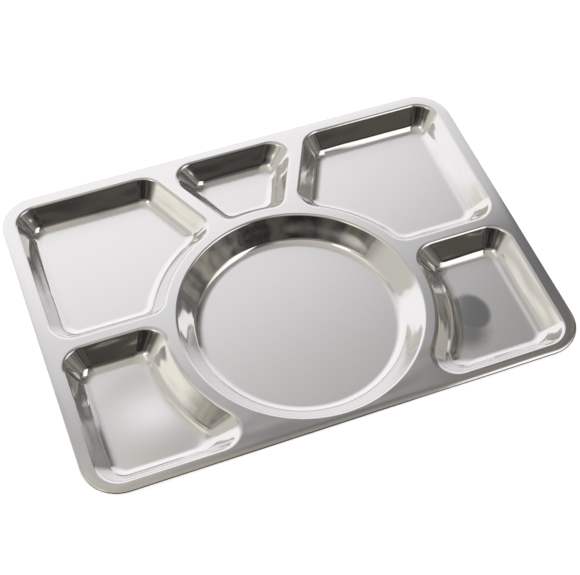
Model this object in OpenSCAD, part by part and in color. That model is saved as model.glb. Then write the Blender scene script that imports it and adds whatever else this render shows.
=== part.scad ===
// Six-compartment mess tray, pressed from one sheet of stainless steel.
// Origin: middle of the tray, on the surface it stands on. +X to the right, +Y to the back, +Z up.

/* [Tray] */
// Overall length, left to right
tray_w = 400; // [390:1:430]
// Overall depth, front to back
tray_d = 289; // [289:1:310]
// Radius of the four outer corners
tray_corner_r = 30; // [27:1:33]
// Thickness of the sheet
sheet = 0.7; // [0.5:0.1:0.9]
// Depth of every well, from the deck down to its floor
well_depth = 17.8; // [16:0.1:22]

/* [Rolled rim] */
// Radius of the curve that turns the edge down
turn_r = 9; // [8:0.5:9.5]
// Angle that the curve turns through
turn_angle = 38; // [30:1:42]
// Outer radius of the bead that is rolled under the edge
bead_r = 1.5; // [1.3:0.1:1.8]
// Angle that the bead is rolled through
bead_angle = 285; // [200:5:290]

/* [Well walls] */
// Radius of the lip, where the deck turns down into a well
lip_r = 3.2; // [2.5:0.1:4]
// Radius of the foot, where a wall turns out into the floor
foot_r = 10.5; // [8:0.5:11]
// Level width of the wall of a side well, lip and foot included
wall_run = 19.6; // [18:0.1:20.5]
// The same width beside the bowl in the front wells, where the wall leans out more
front_bowl_run = 24.5; // [20:0.1:26]
// Radius of the corners of a side well at its floor
floor_corner_r = 7; // [4:0.5:9]

/* [Round bowl] */
// Radius of the bowl at the deck
bowl_r = 98.2; // [95:0.1:98.6]
// Distance of the bowl's middle from the middle of the tray, to the front
bowl_forward = 39.6; // [38:0.1:39.9]
// Level width of the bowl's wall, lip and foot included
bowl_run = 21.8; // [20:0.1:24]
// Width of the land between the bowl and the sides that follow it
bowl_land = 6.7; // [6:0.1:9]

/* [Side wells] */
// Width of the land at the left and right edges
side_land = 10; // [9:0.1:13]
// Width of the land behind the back left and back right wells
back_land = 10.2; // [9:0.1:13]
// Width of the land behind the back middle well
middle_back_land = 8.2; // [8:0.1:12]
// Width of the land at the front edge
front_land = 7.6; // [7:0.1:12]
// Width of the land between a back well and a front well
cross_land = 6.6; // [5:0.1:10]
// Distance of that land's middle from the middle of the tray, to the front
cross_forward = 8.7; // [6:0.1:10]
// Width of the slanted lands beside the back middle well
slant_land = 7.2; // [6:0.1:11]
// Lean of those lands from the front-to-back direction
slant_angle = 26; // [24:1:30]
// Half the width of the back middle well's straight sides, where they would meet its back edge
middle_half_w = 62; // [58:0.5:65]

/* [Corners at the deck] */
// Radius of the outer corners of the back and front wells
outer_corner_r = 19.5; // [16:0.5:21]
// Radius where a back well's slanted side meets the side round the bowl
slant_corner_r = 17; // [12:0.5:19]
// Radius where a back well's front edge meets the side round the bowl
heel_corner_r = 17; // [12:0.5:18]
// Radius where a front well's back edge meets the side round the bowl
shoulder_corner_r = 18; // [12:0.5:19]
// Radius of a front well's pointed corner beside the bowl
point_corner_r = 19; // [15:0.5:20]
// Radius of the back corners of the back middle well
middle_back_r = 17; // [12:0.5:18]
// Radius of the front corners of the back middle well
middle_front_r = 13; // [10:0.5:14]

/* [Smoothness] */
// Straight steps in each rounded corner
corner_steps = 6; // [4:1:8]
// Straight steps along a side that follows the bowl
side_steps = 9; // [6:1:12]
// Straight steps in the lip of a well
lip_steps = 3; // [2:1:5]
// Straight steps in the foot of a well
foot_steps = 5; // [3:1:6]

/* [Hidden] */
$fn = 120;

polished = "gainsboro";
satin = "silver";

deck_z = well_depth + sheet;            // top face of the deck above the table
bowl_centre = [0, -bowl_forward];
rim_run = (turn_r - bead_r) * sin(turn_angle) + bead_r;   // level width of the rim's curve and bead
rim_corner_r = tray_corner_r - rim_run; // corner radius where the deck ends and the rim begins
rim_steps = 5;
bead_steps = 14;

back_y = tray_d / 2 - back_land;
middle_back_y = tray_d / 2 - middle_back_land;
front_y = -tray_d / 2 + front_land;
outer_x = tray_w / 2 - side_land;

// A straight side is [inward normal, its distance from the origin along that normal].
// The side that follows the bowl is [bowl_centre, radius, pace]. Its wall is pace times as wide as the rest.
slant = [cos(slant_angle), sin(slant_angle)];
slant_out = -middle_half_w * slant.x + middle_back_y * slant.y;
round_side = [bowl_centre, bowl_r + bowl_land, 1];
front_round_side = [bowl_centre, bowl_r + bowl_land, front_bowl_run / wall_run];

// Outlines run anticlockwise seen from above, and a corner's radius is for the end of its side.
back_well_sides = [
    [[0, -1], -back_y],
    [[1, 0], -outer_x],
    [[0, 1], -cross_forward + cross_land / 2],
    round_side,
    [-slant, -slant_out + slant_land]
];
back_well_corners = [outer_corner_r, outer_corner_r, heel_corner_r, slant_corner_r, outer_corner_r];

front_well_sides = [
    [[0, -1], cross_forward + cross_land / 2],
    [[1, 0], -outer_x],
    [[0, 1], front_y],
    front_round_side
];
front_well_corners = [outer_corner_r, outer_corner_r, point_corner_r, shoulder_corner_r];

middle_well_sides = [
    [[0, -1], -middle_back_y],
    [slant, slant_out],
    round_side,
    [[-slant.x, slant.y], slant_out]
];
middle_well_corners = [middle_back_r, middle_front_r, middle_front_r, middle_back_r];

function is_round(side) = len(side) == 3;
function unit(v) = v / norm(v);
function polar(centre, r, angle) = centre + r * [cos(angle), sin(angle)];
function bearing(v) = atan2(v.y, v.x);

// Inward direction of a side at a point near it
function inward(side, p) = is_round(side) ? unit(p - side[0]) : side[0];

// How far a side has come in, for an outline moved inwards by inset
function moved(side, inset) = is_round(side) ? inset * side[2] : inset;

// Point at distance c inside the straight side a and d inside the straight side b
function straight_corner(a, b, c, d) =
    let (n = a[0], m = b[0], u = a[1] + c, v = b[1] + d, det = n.x * m.y - n.y * m.x)
    [(u * m.y - v * n.y) / det, (n.x * v - m.x * u) / det];

// Point c inside a straight side and d inside the round one, before (-1) or after (1) the round one
function round_corner(line, arc, c, d, way) =
    let (n = line[0], along = [n.y, -n.x], r = arc[1] + d, k = line[1] + c - n * arc[0])
    arc[0] + k * n + way * sqrt(r * r - k * k) * along;

// Centre of the corner of radius r between side a and the next side b, both moved inwards by inset
function corner_centre(a, b, inset, r) =
    let (c = moved(a, inset) + r, d = moved(b, inset) + r)
    is_round(a) ? round_corner(b, a, d, c, 1)
    : is_round(b) ? round_corner(a, b, c, d, -1)
    : straight_corner(a, b, c, d);

// Signed turn from one bearing to another, the short way round
function turn(from, to) = (to - from + 540) % 360 - 180;

// Outline of a well, moved inwards by inset, with its corners rounded to the radii in corners
function outline(sides, corners, inset) =
    let (
        count = len(sides),
        centres = [for (i = [0 : count - 1])
            corner_centre(sides[i], sides[(i + 1) % count], inset, corners[i])]
    )
    [for (i = [0 : count - 1]) each concat(
        is_round(sides[i]) ? follow(sides[i], inset, centres[(i + count - 1) % count], centres[i]) : [],
        let (
            from = bearing(-inward(sides[i], centres[i])),
            sweep = turn(from, bearing(-inward(sides[(i + 1) % count], centres[i])))
        )
        [for (k = [0 : corner_steps]) polar(centres[i], corners[i], from + sweep * k / corner_steps)]
    )];

// Points between two corners of the side that follows the bowl
function follow(side, inset, first, last) =
    let (
        from = bearing(first - side[0]),
        sweep = turn(from, bearing(last - side[0]))
    )
    [for (k = [1 : side_steps - 1])
        polar(side[0], side[1] + moved(side, inset), from + sweep * k / side_steps)];

// Slope of a wall that is tangent to its lip and its foot
function wall_slope(run) =
    let (drop = well_depth - lip_r - foot_r)
    atan2(drop, run) + asin((lip_r + foot_r) / norm([run, drop]));

// Section through a wall as [inset, height] from the deck to the floor.
// skin is 0 for the upper face of the sheet and its thickness for the lower face.
function wall_section(run, skin, lip_n = lip_steps, foot_n = foot_steps) =
    let (slope = wall_slope(run))
    concat(
        [for (k = [0 : lip_n])
            let (a = slope * k / lip_n)
            [(lip_r - skin) * sin(a), deck_z - lip_r + (lip_r - skin) * cos(a)]],
        [for (k = [foot_n : -1 : 0])
            let (a = slope * k / foot_n)
            [run - (foot_r + skin) * sin(a), sheet + foot_r - (foot_r + skin) * cos(a)]]
    );

function backwards(list) = [for (i = [len(list) - 1 : -1 : 0]) list[i]];

// Corner radii part of the way from the deck's to the floor's
function corners_at(corners, inset) =
    [for (r = corners) r + (floor_corner_r - r) * inset / wall_run];

// Shell of one side well: outlines stacked down the upper face of the sheet and up its lower face
module well_shell(sides, corners) {
    // from the lower floor up to the deck, over its edge, and down to the upper floor
    path = concat(backwards(wall_section(wall_run, sheet)), wall_section(wall_run, 0));
    rings = [for (p = path) [for (q = outline(sides, corners_at(corners, p[0]), p[0])) [q.x, q.y, p[1]]]];
    n = len(rings[0]);
    last = len(rings) - 1;
    polyhedron(
        points = [for (ring = rings) each ring],
        faces = concat(
            [[for (i = [0 : n - 1]) i]],
            [for (k = [0 : last - 1], i = [0 : n - 1])
                let (a = k * n + i, b = k * n + (i + 1) % n)
                each [[a, a + n, b + n], [a, b + n, b]]],
            [[for (i = [n - 1 : -1 : 0]) last * n + i]]
        ),
        convexity = 6
    );
}

module rounded_rectangle(w, d, r) {
    square([w - 2 * r, d], center = true);
    square([w, d - 2 * r], center = true);
    for (x = [-1, 1], y = [-1, 1]) translate([x * (w / 2 - r), y * (d / 2 - r)]) circle(r);
}

// Section through the rim, from the deck outwards: the sheet turns down, then rolls under into a bead
module rim_section() {
    bead_centre = [(turn_r - bead_r) * sin(turn_angle), -turn_r + (turn_r - bead_r) * cos(turn_angle)];
    function turned(r) =
        [for (k = [0 : rim_steps - 1])
            let (a = turn_angle * k / rim_steps)
            [r * sin(a), -turn_r + r * cos(a)]];
    function rolled(r) =
        [for (k = [0 : bead_steps])
            let (a = turn_angle + bead_angle * k / bead_steps)
            bead_centre + r * [sin(a), cos(a)]];
    polygon(concat(
        turned(turn_r), rolled(bead_r),
        backwards(rolled(bead_r - sheet)), backwards(turned(turn_r - sheet))
    ));
}

module rolled_rim() {
    straight_w = tray_w - 2 * tray_corner_r;
    straight_d = tray_d - 2 * tray_corner_r;
    color(polished) translate([0, 0, deck_z]) for (quarter = [0 : 3]) {
        length = quarter % 2 == 0 ? straight_d : straight_w;
        reach = (quarter % 2 == 0 ? tray_w : tray_d) / 2;
        rotate([0, 0, 90 * quarter]) {
            translate([reach - rim_run, length / 2, 0]) rotate([90, 0, 0])
                linear_extrude(length) rim_section();
            translate([reach - tray_corner_r, length / 2, 0])
                rotate_extrude(angle = 90) translate([rim_corner_r, 0]) rim_section();
        }
    }
}

module deck() {
    color(polished) translate([0, 0, deck_z - sheet]) linear_extrude(sheet) difference() {
        rounded_rectangle(tray_w - 2 * rim_run, tray_d - 2 * rim_run, rim_corner_r);
        translate(bowl_centre) circle(bowl_r);
        polygon(outline(middle_well_sides, middle_well_corners, 0));
        for (side = [0, 1]) mirror([side, 0]) {
            polygon(outline(back_well_sides, back_well_corners, 0));
            polygon(outline(front_well_sides, front_well_corners, 0));
        }
    }
}

module round_bowl() {
    function half(skin) = [for (p = wall_section(bowl_run, skin, 6, 8)) [bowl_r - p[0], p[1]]];
    color(satin) translate(bowl_centre) rotate_extrude() polygon(concat(
        half(0), [[0, sheet], [0, 0]], backwards(half(sheet))
    ));
}

module back_left_well() {
    color(satin) well_shell(back_well_sides, back_well_corners);
}

module back_middle_well() {
    color(satin) well_shell(middle_well_sides, middle_well_corners);
}

module back_right_well() {
    mirror([1, 0, 0]) back_left_well();
}

module front_left_well() {
    color(satin) well_shell(front_well_sides, front_well_corners);
}

module front_right_well() {
    mirror([1, 0, 0]) front_left_well();
}

rolled_rim();
deck();
round_bowl();
back_left_well();
back_middle_well();
back_right_well();
front_left_well();
front_right_well();
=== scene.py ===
"""Looks of a six-compartment pressed steel mess tray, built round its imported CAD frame."""

import math

import bmesh
import bpy
from mathutils import Matrix, Vector


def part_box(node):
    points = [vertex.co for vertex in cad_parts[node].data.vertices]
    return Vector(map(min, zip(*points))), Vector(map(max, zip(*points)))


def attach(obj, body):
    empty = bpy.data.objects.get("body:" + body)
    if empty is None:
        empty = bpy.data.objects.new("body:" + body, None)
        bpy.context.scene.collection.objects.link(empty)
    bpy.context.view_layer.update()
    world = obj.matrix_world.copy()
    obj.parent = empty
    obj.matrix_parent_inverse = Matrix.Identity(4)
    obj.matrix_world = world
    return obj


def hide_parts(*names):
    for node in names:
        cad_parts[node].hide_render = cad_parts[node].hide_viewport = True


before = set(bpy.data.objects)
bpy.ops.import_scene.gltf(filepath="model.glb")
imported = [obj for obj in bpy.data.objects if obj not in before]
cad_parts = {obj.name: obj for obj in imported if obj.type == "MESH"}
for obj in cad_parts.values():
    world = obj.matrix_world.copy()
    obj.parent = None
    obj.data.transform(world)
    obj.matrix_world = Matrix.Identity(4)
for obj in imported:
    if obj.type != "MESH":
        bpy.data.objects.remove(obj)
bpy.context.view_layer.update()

# Side wells
# Five wells drawn into the steel sheet round the bowl, each with a rounded lip, a straight sloping wall, a
# rounded foot and a flat floor. The corners tighten on the way down, as the punch leaves them.

deck_low, deck_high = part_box("deck")
sheet = deck_high.z - deck_low.z
deck_z = deck_high.z
floor_z = sheet
well_depth = deck_z - floor_z

half_w = 0.200
half_d = 0.1445
side_land = 0.0100
back_land = 0.0102
middle_back_land = 0.0082
front_land = 0.0076
cross_land = 0.0066
slant_land = 0.0072
bowl_land = 0.0067

bowl_r = 0.0982
bowl_centre = Vector((0, -0.0396))
side_x = half_w - side_land
back_y = half_d - back_land
middle_back_y = half_d - middle_back_land
middle_half_w = 0.062
front_y = -half_d + front_land
cross_y = -0.0087
slant_angle = math.radians(26)
slant = Vector((math.cos(slant_angle), math.sin(slant_angle)))
slant_out = slant.dot(Vector((-middle_half_w, middle_back_y)))

outer_corner_r = 0.0195
slant_corner_r = 0.017
heel_corner_r = 0.017
shoulder_corner_r = 0.018
point_corner_r = 0.019
middle_back_r = 0.017
middle_front_r = 0.013
floor_corner_r = 0.007

lip_r = 0.0032
foot_r = 0.0105
well_run = 0.0196
beside_bowl_run = 0.0245

# Flat margin of each well, the bowl and the rim, which the deck meets
seam = 0.00025

corner_steps = 12
side_steps = 18
lip_steps = 8
wall_steps = 4
foot_steps = 10

smooth_below = math.radians(35)


class Straight:
    """A straight side of an outline: points p with normal . p = distance, and the well's opening beyond."""

    def __init__(self, x, y, distance):
        self.normal = Vector((x, y))
        self.distance = distance

    def inward(self, point):
        return self.normal


class Round:
    """A side that follows the bowl, with the opening outside the circle. Its wall is pace times as wide."""

    def __init__(self, radius, pace=1):
        self.centre = bowl_centre
        self.radius = radius
        self.pace = pace

    def inward(self, point):
        return (point - self.centre).normalized()


def corner_centre(first, second, inset, radius):
    """Centre of the rounded corner between two neighbouring sides that have both moved in by inset."""
    if isinstance(first, Straight) and isinstance(second, Straight):
        n, m = first.normal, second.normal
        c, d = first.distance + inset + radius, second.distance + inset + radius
        det = n.x * m.y - n.y * m.x
        return Vector(((c * m.y - d * n.y) / det, (n.x * d - m.x * c) / det))
    line, arc, way = (second, first, 1) if isinstance(first, Round) else (first, second, -1)
    reach = arc.radius + inset * arc.pace + radius
    out = line.distance + inset + radius - line.normal.dot(arc.centre)
    along = Vector((line.normal.y, -line.normal.x))
    return arc.centre + out * line.normal + way * math.sqrt(reach**2 - out**2) * along


def eased(steps):
    """Shares from 0 to 1 that crowd towards both ends, where a straight side meets a rounded corner."""
    return [(1 - math.cos(math.pi * k / steps)) / 2 for k in range(1, steps)]


def swing(start, end):
    """Bearing of the first direction, and the turn from it to the other one, the short way round."""
    a, b = (math.atan2(v.y, v.x) for v in (start, end))
    return a, (b - a + math.pi) % (2 * math.pi) - math.pi


def arc_points(centre, radius, start, end, shares):
    a, turn = swing(start, end)
    return [centre + radius * Vector((math.cos(a + turn * s), math.sin(a + turn * s))) for s in shares]


def outline(sides, corner_radii, inset):
    """Closed outline, anticlockwise from above, moved inwards by inset. Each side ends in its own corner."""
    count = len(sides)
    following = sides[1:] + sides[:1]
    centres = [corner_centre(sides[i], following[i], inset, corner_radii[i]) for i in range(count)]
    corner_shares = [k / corner_steps for k in range(corner_steps + 1)]
    points = []
    for i, side in enumerate(sides):
        before, after = centres[i - 1], centres[i]
        start = before - corner_radii[i - 1] * side.inward(before)
        end = after - corner_radii[i] * side.inward(after)
        if isinstance(side, Round):
            radius = side.radius + inset * side.pace
            points += arc_points(
                side.centre, radius, start - side.centre, end - side.centre, eased(side_steps)
            )
        else:
            points += [start.lerp(end, s) for s in eased(side_steps)]
        leaving, entering = -side.inward(after), -following[i].inward(after)
        points += arc_points(after, corner_radii[i], leaving, entering, corner_shares)
    return points


def wall_section(run):
    """The sheet's upper face, as (inset, height): margin, lip, wall, foot and the edge of the floor."""
    drop = well_depth - lip_r - foot_r
    slope = math.atan2(drop, run) + math.asin((lip_r + foot_r) / math.hypot(run, drop))
    lip = [slope * k / lip_steps for k in range(lip_steps + 1)]
    lip = [(lip_r * math.sin(a), deck_z - lip_r * (1 - math.cos(a))) for a in lip]
    foot = [slope * (1 - k / foot_steps) for k in range(foot_steps + 1)]
    foot = [(run - foot_r * math.sin(a), floor_z + foot_r * (1 - math.cos(a))) for a in foot]
    (x0, z0), (x1, z1) = lip[-1], foot[0]
    wall = [(x0 + (x1 - x0) * s, z0 + (z1 - z0) * s) for s in eased(wall_steps)]
    return [(-seam, deck_z)] + lip + wall + foot + [(run + seam, floor_z), (run + 4 * seam, floor_z)]


def lay_circle(points, z, start_r=0.01):
    """Adds a circle, to the open mesh or as a new one, and lays its vertices on an outline at height z."""
    if bpy.context.mode == "EDIT_MESH":
        bpy.ops.mesh.select_all(action="DESELECT")
    else:
        bpy.ops.object.select_all(action="DESELECT")
    bpy.ops.mesh.primitive_circle_add(
        vertices=len(points), radius=start_r, location=(0, 0, 0), enter_editmode=True
    )
    piece = bpy.context.object
    mesh = bmesh.from_edit_mesh(piece.data)
    ring = sorted((v for v in mesh.verts if v.select), key=lambda v: math.atan2(v.co.y, v.co.x))
    for vertex, point in zip(ring, points):
        vertex.co = (point.x, point.y, z)
    bmesh.update_edit_mesh(piece.data)
    return piece


def draw_down(piece, old, new, z, digits=7):
    """Extrudes the selected loop and lays it on the next outline at height z."""
    bpy.ops.mesh.extrude_region_move()
    mesh = bmesh.from_edit_mesh(piece.data)
    moves = {p.to_tuple(digits): q for p, q in zip(old, new)}
    for vertex in mesh.verts:
        if vertex.select:
            point = moves[vertex.co.xy.to_tuple(digits)]
            vertex.co = (point.x, point.y, z)
    bmesh.update_edit_mesh(piece.data)


def draw_sheet(name, section, ring):
    """Draws a piece loop by loop. ring(inset) is its outline at each (inset, height) of the section."""
    inset, z = section[0]
    loop = ring(inset)
    piece = lay_circle(loop, z)
    piece.name = piece.data.name = name
    for inset, z in section[1:]:
        next_loop = ring(inset)
        draw_down(piece, loop, next_loop, z)
        loop = next_loop
    return piece


def finish_sheet(piece):
    """Turns the pressed face outwards, gives the sheet its thickness and smooths all but the cut edges."""
    bpy.ops.mesh.select_all(action="SELECT")
    bpy.ops.mesh.normals_make_consistent(inside=False)
    mesh = bmesh.from_edit_mesh(piece.data)
    margin = max(mesh.faces, key=lambda face: face.calc_center_median().z)
    if margin.normal.z < 0:
        bpy.ops.mesh.flip_normals()
    bpy.ops.object.mode_set(mode="OBJECT")
    thicken = piece.modifiers.new("Sheet", "SOLIDIFY")
    thicken.thickness = sheet
    thicken.offset = -1
    thicken.use_even_offset = True
    bpy.ops.object.modifier_apply(modifier=thicken.name)
    bpy.ops.object.shade_smooth_by_angle(angle=smooth_below)


def press_well(name, sides, corner_radii):
    """Draws one well from the deck to its floor, its corners tightening with the wall."""
    def ring(inset):
        share = min(max(inset / well_run, 0), 1)
        radii = [r + (floor_corner_r - r) * share for r in corner_radii]
        return outline(sides, [r - max(inset - well_run, 0) + max(-inset, 0) for r in radii], inset)

    piece = draw_sheet(name, wall_section(well_run), ring)
    bpy.ops.mesh.edge_face_add()
    finish_sheet(piece)
    return piece


def mirrored(piece, name):
    """A copy of a left-hand well turned into its right-hand twin."""
    bpy.ops.object.select_all(action="DESELECT")
    piece.select_set(True)
    bpy.context.view_layer.objects.active = piece
    bpy.ops.object.duplicate()
    twin = bpy.context.object
    twin.name = twin.data.name = name
    twin.scale = (-1, 1, 1)
    bpy.ops.object.transform_apply(location=True, rotation=True, scale=True)
    bpy.ops.object.mode_set(mode="EDIT")
    bpy.ops.mesh.select_all(action="SELECT")
    bpy.ops.mesh.flip_normals()
    bpy.ops.object.mode_set(mode="OBJECT")
    return twin


back_sides = [
    Straight(0, -1, -back_y),
    Straight(1, 0, -side_x),
    Straight(0, 1, cross_y + cross_land / 2),
    Round(bowl_r + bowl_land),
    Straight(-slant.x, -slant.y, slant_land - slant_out),
]
back_radii = [outer_corner_r, outer_corner_r, heel_corner_r, slant_corner_r, outer_corner_r]
front_sides = [
    Straight(0, -1, -cross_y + cross_land / 2),
    Straight(1, 0, -side_x),
    Straight(0, 1, front_y),
    Round(bowl_r + bowl_land, beside_bowl_run / well_run),
]
front_radii = [outer_corner_r, outer_corner_r, point_corner_r, shoulder_corner_r]
middle_sides = [
    Straight(0, -1, -middle_back_y),
    Straight(slant.x, slant.y, slant_out),
    Round(bowl_r + bowl_land),
    Straight(-slant.x, slant.y, slant_out),
]
middle_radii = [middle_back_r, middle_front_r, middle_front_r, middle_back_r]

wells = {
    "back_left_well": press_well("back_left_well_steel", back_sides, back_radii),
    "front_left_well": press_well("front_left_well_steel", front_sides, front_radii),
    "back_middle_well": press_well("back_middle_well_steel", middle_sides, middle_radii),
}
wells["back_right_well"] = mirrored(wells["back_left_well"], "back_right_well_steel")
wells["front_right_well"] = mirrored(wells["front_left_well"], "front_right_well_steel")


class Socket:
    """A shader value that can be added, subtracted and multiplied."""

    def __init__(self, tree, value):
        self.tree = tree
        self.value = value

    def node(self, kind, settings=None, values=None, output=0):
        """Adds a node: its settings first, then the values and links of its sockets."""
        made = self.tree.nodes.new(kind)
        for key, setting in (settings or {}).items():
            setattr(made, key, setting)
        for key, value in (values or {}).items():
            if isinstance(value, Socket):
                self.tree.links.new(value.value, made.inputs[key])
            else:
                made.inputs[key].default_value = value
        return Socket(self.tree, made.outputs[output])

    def math(self, operation, first, second=0.0):
        return self.node("ShaderNodeMath", {"operation": operation}, {0: first, 1: second})

    def __add__(self, other):
        return self.math("ADD", self, other)

    def __radd__(self, other):
        return self.math("ADD", other, self)

    def __sub__(self, other):
        return self.math("SUBTRACT", self, other)

    def __rsub__(self, other):
        return self.math("SUBTRACT", other, self)

    def __mul__(self, other):
        return self.math("MULTIPLY", self, other)

    def __rmul__(self, other):
        return self.math("MULTIPLY", other, self)


def span(socket, low, high, start=0.0, end=1.0):
    """Smooth step from start to end while the value goes from low to high."""
    return socket.node(
        "ShaderNodeMapRange",
        {"interpolation_type": "SMOOTHSTEP"},
        {"Value": socket, "From Min": low, "From Max": high, "To Min": start, "To Max": end},
    )


def spot(place, centre, inner, outer, tall=1.0):
    """An oval soft-edged mask, 1 within the inner radius and 0 beyond the outer one. It is tall times as deep
    as it is wide."""
    x, y = centre
    centred = place.node(
        "ShaderNodeMapping", {}, {"Vector": place, "Location": (-x, -y / tall, 0), "Scale": (1, 1 / tall, 0)}
    )
    away = place.node("ShaderNodeVectorMath", {"operation": "LENGTH"}, {0: centred}, output="Value")
    return span(away, inner, outer, 1.0, 0.0)


def noise(place, scale, detail):
    """Noise on a pattern that is scaled in each direction."""
    scaled = place.node("ShaderNodeMapping", {}, {"Vector": place, "Scale": scale})
    return place.node("ShaderNodeTexNoise", {}, {"Vector": scaled, "Scale": 1.0, "Detail": detail})


# One stainless steel serves the whole sheet. Deck, rim and walls are polished, and the press leaves them a
# little wavy, the walls bulged and the front land uneven. The floors are satin, worn smooth at a spot in the
# front right well. The front left well's floor sags, and a soft round patch of it is lightened as a painted
# highlight.
polished_colour = (0.79, 0.785, 0.78, 1)
satin_colour = (0.97, 0.965, 0.97, 1)
wall_roughness = 0.08
deck_roughness = 0.13
satin_roughness = 0.30
worn_place = (0.1325, -0.0765)
worn_edge_place = (0.121, -0.092)
# Centre and radius of the painted highlight on the front left floor, which is also where that floor sags
sag_highlight_place = (-0.134, -0.078)
sag_highlight_r = 0.046
sag_slope = 0.045
bulge = 0.0011
smear = 0.00022
ripple = 0.004
wall_waviness = 0.24
deck_waviness = 0.02
skin = 0.0001
blend = 0.0012
wall_end = 0.0003

steel = bpy.data.materials.new("Stainless steel")
steel.use_nodes = True
tree = steel.node_tree
shader = tree.nodes["Principled BSDF"]
start = Socket(tree, None)
place = start.node("ShaderNodeTexCoord", output="Object")
depth, height = (start.node("ShaderNodeSeparateXYZ", values={0: place}, output=k) for k in (1, 2))
satin = 1 - span(height, floor_z + skin, floor_z + blend)
flat = span(height, deck_z - blend, deck_z - skin)
front = span(depth, -0.070, -0.115)

worn = spot(place, worn_place, inner=0.0120, outer=0.0170, tall=1.2)
worn_edge = 0.9 * spot(place, worn_edge_place, inner=0.006, outer=0.024)
worn = worn.math("MAXIMUM", worn, worn_edge) * satin
# Painted highlight: a soft round patch of the front left floor has its colour lightened towards the satin's;
# the same mask tilts that floor into a sag
sag_and_painted_highlight = spot(place, sag_highlight_place, inner=0.0, outer=sag_highlight_r) * satin
colour = start.node(
    "ShaderNodeMix",
    {"data_type": "RGBA"},
    {"Factor": 0.55 * satin + 0.45 * sag_and_painted_highlight - 0.55 * worn, "A": polished_colour, "B": satin_colour},
    output="Result",
)
tree.links.new(colour.value, shader.inputs["Base Color"])
shader.inputs["Metallic"].default_value = 1

wavy = (1 - satin) * (wall_waviness - (wall_waviness - deck_waviness) * flat)
waves = noise(place, scale=(17, 17, 75), detail=1.0)
rippled = start.node("ShaderNodeBump", values={"Height": waves, "Strength": wavy, "Distance": ripple})
smeared = smear * flat * front * (noise(place, scale=(20, 55, 40), detail=1.0) - 0.5)
sagged = sag_and_painted_highlight * (sag_highlight_place[1] - depth) * sag_slope
bulged = bulge * span(height, floor_z + wall_end, deck_z - wall_end)
shape = smeared + sagged - bulged
shaped = start.node("ShaderNodeBump", values={"Height": shape, "Distance": 1.0, "Normal": rippled})
tree.links.new(shaped.value, shader.inputs["Normal"])
roughness = wall_roughness + (deck_roughness - wall_roughness) * flat
roughness = roughness + (satin_roughness - wall_roughness) * (satin - worn)
tree.links.new(roughness.value, shader.inputs["Roughness"])


def fit(piece, node):
    """Gives a piece its steel and puts it in the place of its CAD node."""
    piece.data.materials.append(steel)
    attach(piece, "root")
    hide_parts(node)


for node, well in wells.items():
    fit(well, node)

# Round bowl
# The large round well at the middle of the front, drawn from the same steel sheet to the same depth, with a
# gentler wall.

bowl_run = 0.0218
bowl_steps = 256


def circle(inset):
    turns = [2 * math.pi * k / bowl_steps for k in range(bowl_steps)]
    return [bowl_centre + (bowl_r - inset) * Vector((math.cos(a), math.sin(a))) for a in turns]


bowl = draw_sheet("round_bowl_steel", wall_section(bowl_run), circle)
bpy.ops.mesh.edge_face_add()
finish_sheet(bowl)
fit(bowl, "round_bowl")

# Rolled rim
# The trimmed edge of the steel blank, which dips a little all round and is rolled under into a thin bead, so
# that no cut edge is left to the hand.

tray_corner_r = 0.030
dip_r = 0.0225
dip_angle = math.radians(12)
bead_r = 0.0018
bead_angle = math.radians(285)
dip_steps = 10
bead_steps = 20
bead_x = (dip_r - bead_r) * math.sin(dip_angle)
bead_z = deck_z - dip_r + (dip_r - bead_r) * math.cos(dip_angle)
rim_run = bead_x + bead_r
edge_sides = [
    Straight(0, -1, -half_d),
    Straight(1, 0, -half_w),
    Straight(0, 1, -half_d),
    Straight(-1, 0, -half_w),
]


def edge_loop(out):
    """The tray's rounded rectangle, that far out from the edge of the deck."""
    inset = rim_run - out
    return outline(edge_sides, [tray_corner_r - inset] * 4, inset)


dipped = [dip_angle * k / dip_steps for k in range(dip_steps)]
rolled = [dip_angle + bead_angle * k / bead_steps for k in range(bead_steps + 1)]
section = [(-seam, deck_z)]
section += [(dip_r * math.sin(a), deck_z - dip_r * (1 - math.cos(a))) for a in dipped]
section += [(bead_x + bead_r * math.sin(a), bead_z + bead_r * math.cos(a)) for a in rolled]

rim = draw_sheet("rolled_rim_steel", section, edge_loop)
finish_sheet(rim)
fit(rim, "rolled_rim")

# Deck
# The flat web of steel that the wells hang from, left between them at the sheet's full thickness. It reaches
# to the margins of the wells, the bowl and the rim.

deck = lay_circle(edge_loop(-seam), deck_z)
deck.name = deck.data.name = "deck_steel"
lay_circle(circle(-seam), deck_z)
for sides, radii in ((back_sides, back_radii), (front_sides, front_radii)):
    loop = outline(sides, [r + seam for r in radii], -seam)
    lay_circle(loop, deck_z)
    lay_circle([Vector((-p.x, p.y)) for p in loop], deck_z)
lay_circle(outline(middle_sides, [r + seam for r in middle_radii], -seam), deck_z)
bpy.ops.mesh.select_all(action="SELECT")
bpy.ops.mesh.fill(use_beauty=True)
bpy.ops.mesh.extrude_region_move(TRANSFORM_OT_translate={"value": (0, 0, -sheet)})
bpy.ops.mesh.select_all(action="SELECT")
bpy.ops.mesh.normals_make_consistent(inside=False)
bpy.ops.object.mode_set(mode="OBJECT")
bpy.ops.object.shade_smooth_by_angle(angle=smooth_below)
fit(deck, "deck")

# Studio
# A white table with a wide lit backdrop behind it, a pale card at the left and a flat soft box over the
# tray's right side. The rest of the room is dim and warm, with a few lamps.

floor_size = 6
floor_gap = 0.0002
floor_glow = 0.65

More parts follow.
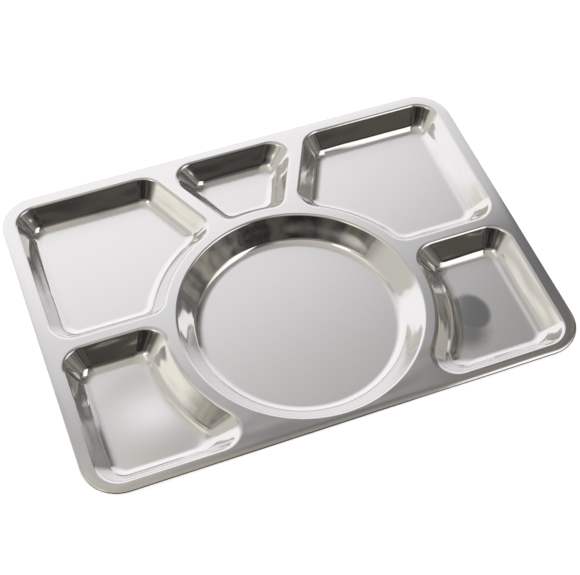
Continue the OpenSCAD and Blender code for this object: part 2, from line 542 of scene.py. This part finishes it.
bpy.ops.object.select_all(action="DESELECT")
bpy.ops.mesh.primitive_plane_add(size=floor_size, location=(0, 0, -floor_gap))
floor = bpy.context.object
floor.name = "floor"
white = bpy.data.materials.new("White floor")
white.use_nodes = True
tree = white.node_tree
tree.nodes.clear()
start = Socket(tree, None)
paper = start.node("ShaderNodeBsdfDiffuse", values={"Color": (0.9, 0.9, 0.9, 1)})
glow = start.node("ShaderNodeEmission", values={"Strength": floor_glow})
lit = start.node("ShaderNodeAddShader", values={0: paper, 1: glow})
by_camera, in_metal, through_glass = (
    start.node("ShaderNodeLightPath", output=f"Is {kind} Ray")
    for kind in ("Camera", "Glossy", "Transmission")
)
mix = start.node("ShaderNodeMixShader", values={0: by_camera + in_metal + through_glass, 1: paper, 2: lit})
tree.links.new(mix.value, tree.nodes.new("ShaderNodeOutputMaterial").inputs["Surface"])
floor.data.materials.append(white)


def tinted(strength, colour):
    """That colour at a strength that varies."""
    values = {"Vector": colour, "Scale": strength}
    return strength.node("ShaderNodeVectorMath", {"operation": "SCALE"}, values)


def card(name, centre, size, target, colour, light):
    """A glowing card of that width and height that faces the target. light(u, v) gives its strength, with
    u and v from -1 to 1 across and up the card."""
    centre, target = Vector(centre), Vector(target)
    facing = (target - centre).to_track_quat("Z", "Y")
    bpy.ops.object.select_all(action="DESELECT")
    bpy.ops.mesh.primitive_plane_add(size=2, location=centre, rotation=facing.to_euler())
    made = bpy.context.object
    made.name = name
    made.scale = (size[0] / 2, size[1] / 2, 1)
    glow = bpy.data.materials.new(name)
    glow.use_nodes = True
    tree = glow.node_tree
    tree.nodes.clear()
    start = Socket(tree, None)
    across = start.node("ShaderNodeTexCoord", output="Object")
    u, v = (start.node("ShaderNodeSeparateXYZ", values={0: across}, output=k) for k in (0, 1))
    shade = start.node("ShaderNodeEmission", values={"Color": tinted(light(u, v), colour)})
    tree.links.new(shade.value, tree.nodes.new("ShaderNodeOutputMaterial").inputs["Surface"])
    made.data.materials.append(glow)


backdrop_w = 4.24
backdrop_h = 2.45
backdrop_y = 1.2


def backdrop_light(u, v):
    """Brightest low in the middle, and dimmer outwards in rings and to the right, most so at its far edge."""
    x = u * (backdrop_w / 2)
    z = v * (backdrop_h / 2) + backdrop_h / 2
    r = x.math("SQRT", x * x + z * z)
    edge = span(r, 2.02, 2.12)
    rings = 1.10 - 0.37 * span(r, 1.35, 2.03)
    return rings * (1 - 0.12 * span(x, 0.3, 1.0)) * (1 - 0.3 * edge) * (1 - 0.62 * edge * span(x, 0.98, 1.01))


def left_light(u, v):
    """Soft at both sides, and dimmer near the table."""
    return (1.0 - 0.35 * span(v, -0.7, -0.3)) * span(u, -1.0, -0.5, 0.65, 1.0)


def softbox_light(u, v):
    """Soft all round, and dimmer towards the right, which is at negative u on a card that faces down."""
    soft_u, soft_v = (span(w.math("ABSOLUTE", w), 1.0, 0.86) for w in (u, v))
    return (1.3 - 0.5 * span(u, 0.2, -0.9)) * soft_u * soft_v


card(
    "card_back",
    centre=(0, backdrop_y, backdrop_h / 2),
    size=(backdrop_w, backdrop_h),
    target=(0, 0, backdrop_h / 2),
    colour=(1.0, 0.985, 1.0),
    light=backdrop_light,
)
card(
    "card_left",
    centre=(-1.5, 0.5, 0.9),
    size=(1.3, 1.8),
    target=(0, 0.5, 0.9),
    colour=(1.0, 0.965, 0.88),
    light=left_light,
)
card(
    "card_right",
    centre=(0.82, -0.46, 1.0),
    size=(0.86, 1.0),
    target=(0.82, -0.46, 0),
    colour=(1.0, 0.98, 0.96),
    light=softbox_light,
)

# The room round it all, by the direction of a ray, in which z is 1 straight up
world = bpy.data.worlds.new("Room")
bpy.context.scene.world = world
world.use_nodes = True
tree = world.node_tree
start = Socket(tree, None)
ray = start.node("ShaderNodeTexCoord", output="Generated")
x, y, z = (start.node("ShaderNodeSeparateXYZ", values={0: ray}, output=k) for k in range(3))


def lamp_line(low):
    """A thin line of lamps all round the room, that high up."""
    return span(z, low, low + 0.007) - span(z, low + 0.011, low + 0.018)


# Walls, brighter and darker in places, with a dark strip on the left one
left_wall = 0.28 * span(x, -0.3, -0.9) * (1 - 0.5 * span(y, -0.1, -0.3))
right_wall = 0.18 * span(x, 0.4, 0.9) * span(y, -0.6, -0.2)
back_wall = 0.06 * span(y, 0.2, 0.5)
front_right_wall = 0.12 * span(x, 0.38, 0.55) * span(y, -0.2, -0.6)
walls = 0.06 + left_wall + right_wall + back_wall + front_right_wall
dark_strip = 1 - 0.5 * (span(z, 0.40, 0.46) - span(z, 0.55, 0.68)) * span(x, 0.0, -0.3)
clutter = span(noise(ray, scale=(6.0, 6.0, 1.6), detail=3.0), 0.35, 0.65)

# Lamps low at the front, the ceiling, and a lamp high up at the front left
front_lamps = 0.35 * ((lamp_line(0.215) + lamp_line(0.325)) * span(y, -0.5, -0.8))
upper_walls = span(z, 0.62, 0.78) * (0.065 + 0.145 * span(x, 0.2, -0.4))
right_of_top = span(z, 0.88, 0.94) * span(y, 0.35, 0.05) * span(x, 0.0, 0.2)
ceiling = span(z, 0.80, 0.88) * (0.09 + 0.27 * span(x, 0.17, 0.07)) + 0.17 * right_of_top
front_left = 0.45 * span(y, -0.5, -0.25) * span(x, -0.3, -0.6) * span(z, 0.54, 0.62)
lamp_away = start.node(
    "ShaderNodeVectorMath", {"operation": "DISTANCE"}, {0: ray, 1: (-0.56, -0.25, 0.79)}, output="Value"
)
high_lamp = 0.8 * span(lamp_away, 0.15, 0.09)

tint = start.node(
    "ShaderNodeMix",
    {"data_type": "RGBA"},
    {"Factor": clutter, "A": (0.98, 0.96, 0.93, 1), "B": (1.0, 0.92, 0.76, 1)},
    output="Result",
)
room = walls * dark_strip * (0.45 + 1.1 * clutter)
room = room + front_lamps + upper_walls + ceiling + front_left + high_lamp
tree.links.new(tinted(room, tint).value, tree.nodes["Background"].inputs["Color"])

# Camera
# It stands where the photograph was taken from, in front of the tray, a little to its left and well above it,
# with a long lens.

photo_w_px = 580
lens_px = 1312.5
sensor_w = 36
eye = Vector((-0.2329, -0.5818, 0.8583))
aim = Vector((-0.0002, -0.0162, deck_z))
roll = math.radians(1.872)
camera_data = bpy.data.cameras.new("Camera")
camera = bpy.data.objects.new("Camera", camera_data)
bpy.context.scene.collection.objects.link(camera)
camera_data.sensor_fit = "HORIZONTAL"
camera_data.sensor_width = sensor_w
camera_data.lens = sensor_w * lens_px / photo_w_px
turn = (aim - eye).to_track_quat("-Z", "Y")
camera.matrix_world = Matrix.Translation(eye) @ turn.to_matrix().to_4x4() @ Matrix.Rotation(roll, 4, "Z")
bpy.context.scene.camera = camera

bpy.context.scene.view_settings.view_transform = "Standard"
